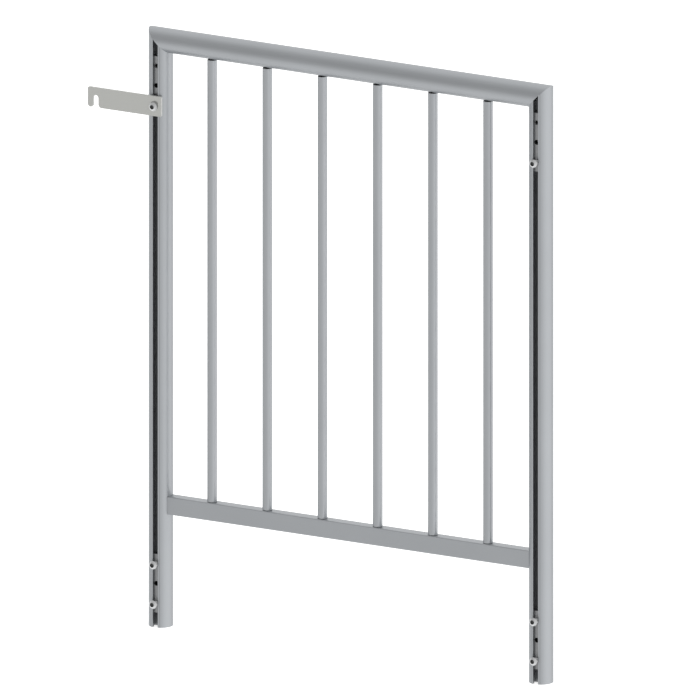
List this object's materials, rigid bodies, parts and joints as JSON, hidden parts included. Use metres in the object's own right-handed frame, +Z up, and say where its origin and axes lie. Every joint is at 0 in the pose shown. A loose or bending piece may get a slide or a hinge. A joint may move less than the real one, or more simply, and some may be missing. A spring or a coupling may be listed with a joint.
{
  "type": "livestock panel gate",
  "caption": "Pen panel of slotted round tube with upright bars, a lower rail, sliding nut bars with stand-off screws, and a swinging hook plate that couples it to a neighbour.",
  "frame": {"origin": "the left post's axis at the floor", "axes": "+X along the panel to the right post, +Z up, -Y the slotted front"},
  "size_m": [0.8525, 0.0497, 1],
  "materials": {
    "tube": "satin anodised extrusion, drawn along its length",
    "bar": "satin drawn tube",
    "lower_rail": "satin rectangular extrusion",
    "nut_steel": "plain steel bar, drawn",
    "screw_steel": "bright turned stainless steel",
    "hook_zinc": "laser-cut plate, zinc plated",
    "inner_steel": "plain steel, hidden inside",
    "black_steel": "blackened steel",
    "cleat": "mill-finish cleat, hidden inside"
  },
  "bodies": {
    "frame": {"left_post": "tube", "right_post": "tube", "top_rail": "tube", "lower_rail": "lower_rail", "corner_cleat_left": "cleat", "corner_cleat_right": "cleat", "rail_sliding_nuts": "inner_steel", "bar_top_studs": "black_steel", "bar_top_plugs": "inner_steel", "bar_foot_plugs": "inner_steel", "bar_foot_screws": "inner_steel", "bar_1": "bar", "bar_2": "bar", "bar_3": "bar", "bar_4": "bar", "bar_5": "bar", "bar_6": "bar"},
    "upper_left_fixing": {"nut_bar_top_left": "nut_steel", "grub_screw_top_left": "nut_steel", "hook_screw": "screw_steel", "hook_washer": "screw_steel"},
    "hook": {"hook_plate": "hook_zinc"},
    "upper_right_fixing": {"nut_bar_top_right": "nut_steel", "grub_screw_top_right": "nut_steel", "catch_screw_top_right": "screw_steel"},
    "lower_left_fixing": {"nut_bar_bottom_left": "nut_steel", "fixing_screw_left_upper": "screw_steel", "fixing_screw_left_lower": "screw_steel"},
    "lower_right_fixing": {"nut_bar_bottom_right": "nut_steel", "fixing_screw_right_upper": "screw_steel", "fixing_screw_right_lower": "screw_steel"}
  },
  "joints": [
    {"name": "upper_left_slide", "type": "slide", "parent": "frame", "child": "upper_left_fixing", "axis": [0, 0, 1], "range_m": [-0.6, 0.01]},
    {"name": "hook_swing", "type": "hinge", "parent": "upper_left_fixing", "child": "hook", "pos_m": [0, -0.0223, 0.873], "axis": [0, 1, 0], "range_deg": [-90, 90]},
    {"name": "upper_right_slide", "type": "slide", "parent": "frame", "child": "upper_right_fixing", "axis": [0, 0, 1], "range_m": [-0.6, 0.01]},
    {"name": "lower_left_slide", "type": "slide", "parent": "frame", "child": "lower_left_fixing", "axis": [0, 0, 1], "range_m": [-0.02, 0.06]},
    {"name": "lower_right_slide", "type": "slide", "parent": "frame", "child": "lower_right_fixing", "axis": [0, 0, 1], "range_m": [-0.02, 0.06]}
  ]
}
